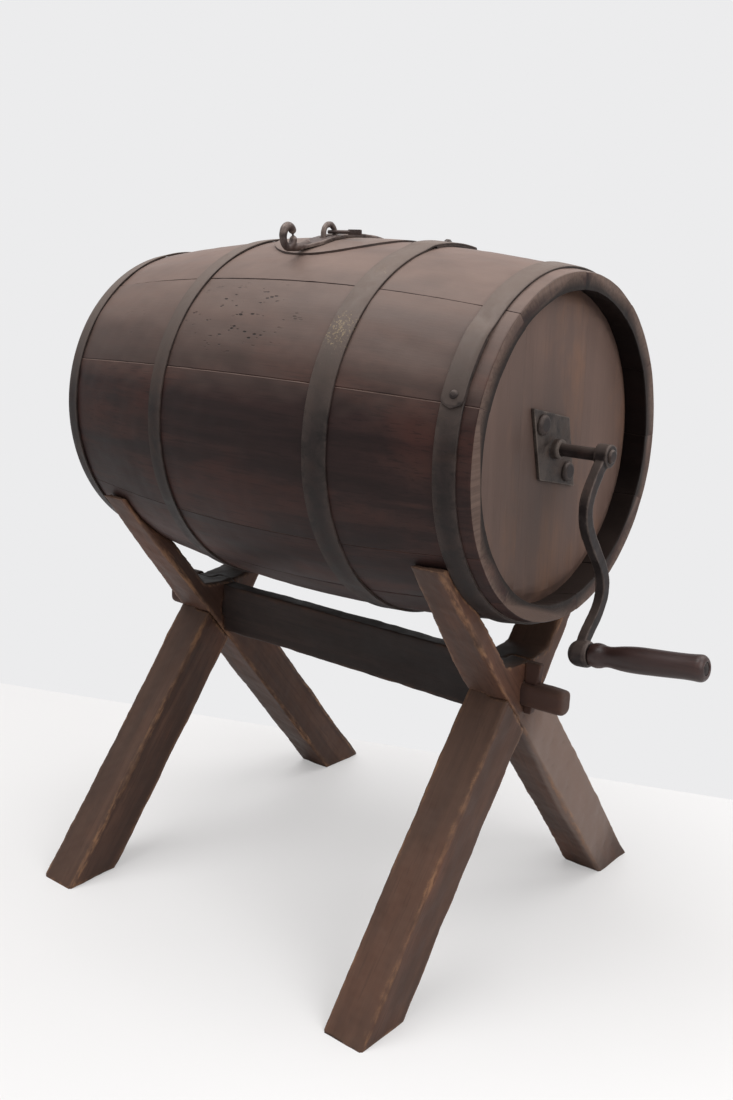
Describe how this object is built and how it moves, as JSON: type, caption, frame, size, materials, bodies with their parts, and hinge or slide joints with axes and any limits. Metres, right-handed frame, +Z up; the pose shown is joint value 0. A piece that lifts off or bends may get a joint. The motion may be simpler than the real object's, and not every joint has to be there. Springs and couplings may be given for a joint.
{
  "type": "barrel butter churn",
  "caption": "Coopered barrel butter churn on a cross-legged cradle stand, with a side crank that turns a slatted dasher inside and a latched round lid on top.",
  "frame": {"origin": "on the floor, under the middle of the whole churn's bounding box", "axes": "+Z up, +X along the barrel towards the crank, +Y away from the side that the hasp's curl points to"},
  "size_m": [0.768, 0.5326, 0.781],
  "materials": {
    "stave_wood": "dark, worn, half gloss",
    "head_wood": "dark, dry, brushed",
    "lid_wood": "dark, worn",
    "leg_wood": "dark stain, worn to orange at the edges",
    "rail_wood": "dark stain",
    "dasher_wood": "bare, water worn",
    "grip_wood": "dark reddish, hand polished",
    "hoop_iron": "dark, worn, slightly rusted",
    "hasp_iron": "forged, worn",
    "plate_iron": "pale worn metal",
    "crank_iron": "forged, worn"
  },
  "bodies": {
    "stand": {"leg_crank_back": "leg_wood", "leg_crank_near": "leg_wood", "leg_far_back": "leg_wood", "leg_far_near": "leg_wood", "rail": "rail_wood", "wedge_crank": "rail_wood", "wedge_far": "rail_wood"},
    "barrel": {"bearing_plate": "plate_iron", "far_bearing_block": "dasher_wood", "head_crank_back": "head_wood", "head_crank_middle": "head_wood", "head_crank_near": "head_wood", "head_far_back": "head_wood", "head_far_middle": "head_wood", "head_far_near": "head_wood", "hinge_pin": "hasp_iron", "hinge_plate": "hasp_iron", "hoop_crank_end": "hoop_iron", "hoop_crank_quarter": "hoop_iron", "hoop_far_end": "hoop_iron", "hoop_far_quarter": "hoop_iron", "hoop_rivets": "crank_iron", "plate_bolts": "crank_iron", "plate_nuts": "crank_iron", "stave_01": "stave_wood", "stave_02": "stave_wood", "stave_03": "stave_wood", "stave_04": "stave_wood", "stave_05": "stave_wood", "stave_06": "stave_wood", "stave_07": "stave_wood", "stave_08": "stave_wood", "stave_09": "stave_wood", "stave_10": "stave_wood", "stave_11": "stave_wood", "thrust_washer": "crank_iron"},
    "crank": {"crank": "crank_iron", "shaft": "crank_iron", "grip_spindle": "crank_iron", "dasher_arm_crank_falling": "dasher_wood", "dasher_arm_crank_rising": "dasher_wood", "dasher_arm_far_falling": "dasher_wood", "dasher_arm_far_rising": "dasher_wood", "dasher_pegs": "dasher_wood", "dasher_slat_1": "dasher_wood", "dasher_slat_2": "dasher_wood", "dasher_slat_3": "dasher_wood", "dasher_slat_4": "dasher_wood"},
    "grip": {"grip": "grip_wood"},
    "lid": {"lid": "lid_wood", "hasp": "hasp_iron", "lid_staple": "hasp_iron"},
    "lid_pin": {"lid_pin": "hasp_iron"}
  },
  "joints": [
    {"name": "barrel_lift", "type": "slide", "parent": "stand", "child": "barrel", "axis": [0, 0, 1], "range_m": [0, 0.12]},
    {"name": "crank_turn", "type": "hinge", "parent": "barrel", "child": "crank", "pos_m": [0.249, 0, 0.563], "axis": [1, 0, 0], "continuous": true},
    {"name": "grip_spin", "type": "hinge", "parent": "crank", "child": "grip", "pos_m": [0.249, -0.023, 0.365], "axis": [0.9925, 0, 0.1219], "continuous": true},
    {"name": "lid_hinge", "type": "hinge", "parent": "barrel", "child": "lid", "pos_m": [-0.085, 0.09457, 0.7486], "axis": [-1, 0, 0], "range_deg": [0, 115]},
    {"name": "lid_pin_slide", "type": "slide", "parent": "lid", "child": "lid_pin", "axis": [1, 0, 0], "range_m": [0, 0.03]}
  ]
}
